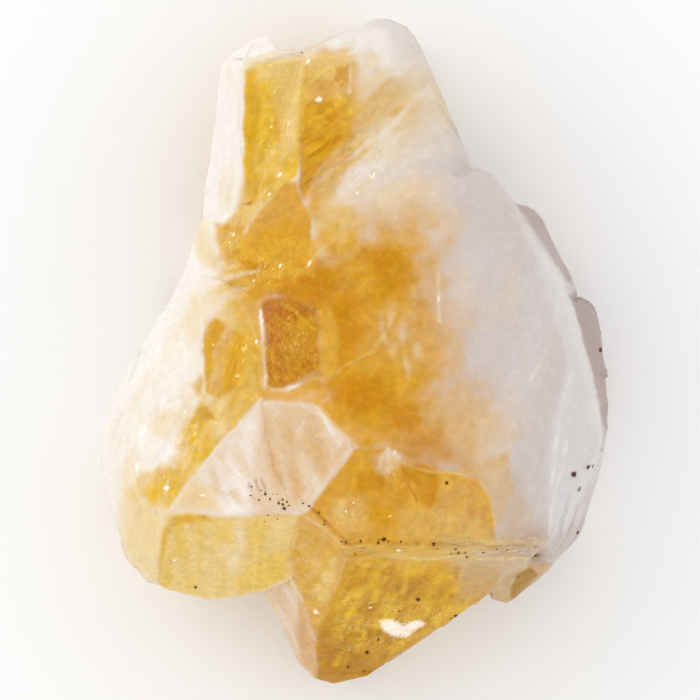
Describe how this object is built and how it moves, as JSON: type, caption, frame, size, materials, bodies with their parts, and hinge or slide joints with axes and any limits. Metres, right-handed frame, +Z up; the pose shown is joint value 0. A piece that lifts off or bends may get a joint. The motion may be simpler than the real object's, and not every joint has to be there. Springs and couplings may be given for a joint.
{
  "type": "citrine crystal point",
  "caption": "Broken-off citrine point in one solid: milky neck and lobes, amber heart, faceted clear yellow tip, lying on its flat back fracture.",
  "frame": {"origin": "middle of the bounding box at the table, under the flat back fracture that the crystal lies on", "axes": "+Y from the faceted point towards the broken neck, +X towards the milky side, +Z up from the table through the faceted front"},
  "size_m": [0.038, 0.0502, 0.0252],
  "materials": {
    "citrine": "polished"
  },
  "bodies": {
    "root": {"citrine_crystal": "citrine"}
  },
  "joints": []
}
